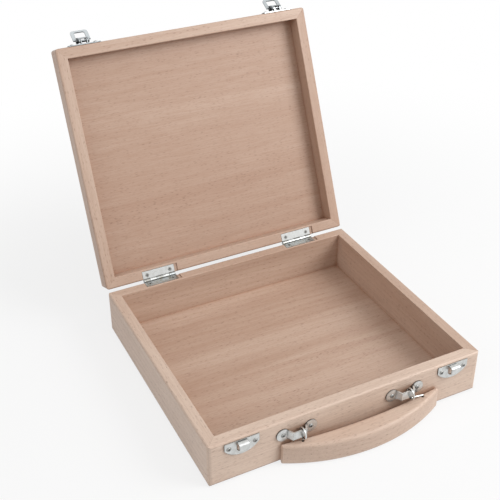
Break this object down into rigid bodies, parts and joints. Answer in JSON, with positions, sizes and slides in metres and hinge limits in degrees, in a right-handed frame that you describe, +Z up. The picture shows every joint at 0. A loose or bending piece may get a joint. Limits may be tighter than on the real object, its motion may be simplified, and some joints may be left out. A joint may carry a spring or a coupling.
{
  "type": "domino storage box",
  "caption": "Hinged wooden storage box for dominoes, with draw latches and a drop-down wooden carrying handle.",
  "frame": {"origin": "middle of the base's underside, on the surface that it stands on", "axes": "+X to the right across the front, +Y from the front to the back, +Z up; the lid stands open at the back"},
  "size_m": [0.2216, 0.3126, 0.2233],
  "materials": {
    "beech_frame": "sanded beech, thin clear coat, grain along each wall",
    "beech_panel": "beech veneered panel, thin clear coat",
    "beech_grip": "sanded beech, thin clear coat, grain along the grip",
    "nickel_plate": "bright nickel-plated steel sheet and wire",
    "screw_steel": "nickel-plated steel wood screws"
  },
  "bodies": {
    "base": {"base_wall_front": "beech_frame", "base_wall_back": "beech_frame", "base_wall_left": "beech_frame", "base_wall_right": "beech_frame", "base_panel": "beech_panel", "hinge_left_base_leaf": "nickel_plate", "hinge_right_base_leaf": "nickel_plate", "hinge_left_pin": "nickel_plate", "hinge_right_pin": "nickel_plate", "hinge_screws_base": "screw_steel", "catch_left_plate": "nickel_plate", "catch_right_plate": "nickel_plate", "catch_screws": "screw_steel", "handle_strap_left": "nickel_plate", "handle_strap_right": "nickel_plate", "handle_strap_screws": "screw_steel"},
    "lid": {"lid_wall_front": "beech_frame", "lid_wall_back": "beech_frame", "lid_wall_left": "beech_frame", "lid_wall_right": "beech_frame", "lid_panel": "beech_panel", "hinge_left_lid_leaf": "nickel_plate", "hinge_right_lid_leaf": "nickel_plate", "hinge_screws_lid": "screw_steel", "latch_left_plate": "nickel_plate", "latch_right_plate": "nickel_plate", "latch_screws": "screw_steel", "latch_left_lever_pin": "nickel_plate", "latch_right_lever_pin": "nickel_plate"},
    "latch_left_lever": {"latch_left_lever": "nickel_plate", "latch_left_bail_pin": "nickel_plate"},
    "latch_right_lever": {"latch_right_lever": "nickel_plate", "latch_right_bail_pin": "nickel_plate"},
    "latch_left_bail": {"latch_left_bail": "nickel_plate"},
    "latch_right_bail": {"latch_right_bail": "nickel_plate"},
    "handle": {"handle_grip": "beech_grip", "handle_eye_left": "nickel_plate", "handle_eye_right": "nickel_plate"}
  },
  "joints": [
    {"name": "lid_hinge", "type": "hinge", "parent": "base", "child": "lid", "pos_m": [0, 0.09915, 0.03655], "axis": [1, 0, 0], "range_deg": [0, 113.3]},
    {"name": "handle_swing", "type": "hinge", "parent": "base", "child": "handle", "pos_m": [0.008, -0.10304, 0.0248], "axis": [-1, 0, 0], "range_deg": [0, 120]},
    {"name": "latch_left_lever_swing", "type": "hinge", "parent": "lid", "child": "latch_left_lever", "pos_m": [-0.086, 0.1803, 0.2198], "axis": [1, 0, 0], "range_deg": [0, 120]},
    {"name": "latch_left_bail_swing", "type": "hinge", "parent": "latch_left_lever", "child": "latch_left_bail", "pos_m": [-0.086, 0.18392, 0.21758], "axis": [1, 0, 0], "range_deg": [-50, 35]},
    {"name": "latch_right_lever_swing", "type": "hinge", "parent": "lid", "child": "latch_right_lever", "pos_m": [0.086, 0.1803, 0.2198], "axis": [1, 0, 0], "range_deg": [0, 120]},
    {"name": "latch_right_bail_swing", "type": "hinge", "parent": "latch_right_lever", "child": "latch_right_bail", "pos_m": [0.086, 0.18392, 0.21758], "axis": [1, 0, 0], "range_deg": [-50, 35]}
  ]
}
